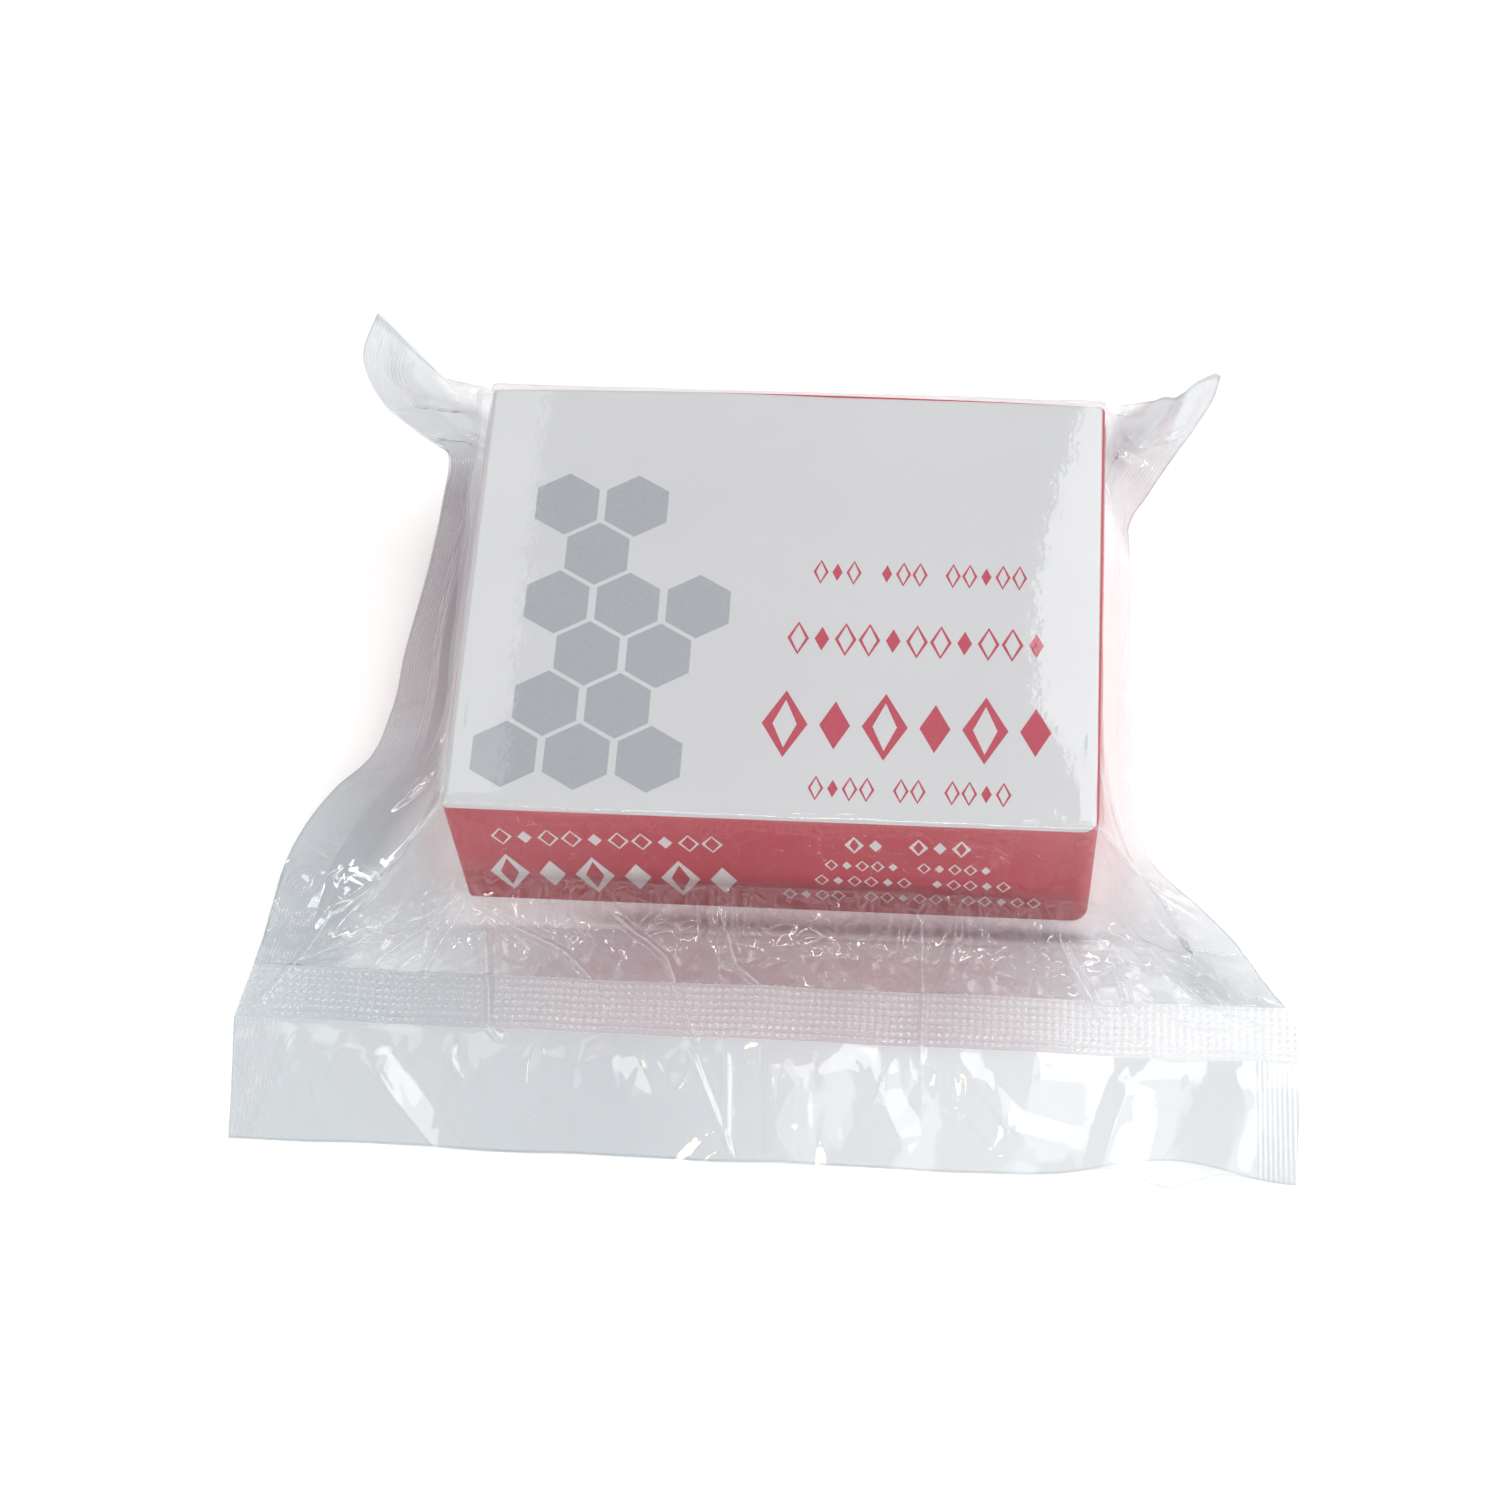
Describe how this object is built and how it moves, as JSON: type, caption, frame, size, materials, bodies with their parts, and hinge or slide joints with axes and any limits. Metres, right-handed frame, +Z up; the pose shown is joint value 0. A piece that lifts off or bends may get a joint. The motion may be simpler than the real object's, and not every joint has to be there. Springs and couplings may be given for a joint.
{
  "type": "sealed pack of microscope slides",
  "caption": "Flat printed card box of glass laboratory slides, vacuum-sealed in a clear film pouch with a front skirt and two corner ears.",
  "frame": {"origin": "on the resting surface, under the middle of the box", "axes": "+X along the box's long side to the right, +Y towards the pouch's back weld and ears, +Z up; the skirt points to -Y"},
  "size_m": [0.1366, 0.1032, 0.035],
  "materials": {
    "card": "coated card, off-white top and red sides",
    "film": "clear crinkled pouch film"
  },
  "bodies": {
    "root": {"carton": "card", "upper_film": "film", "lower_film": "film"}
  },
  "joints": []
}
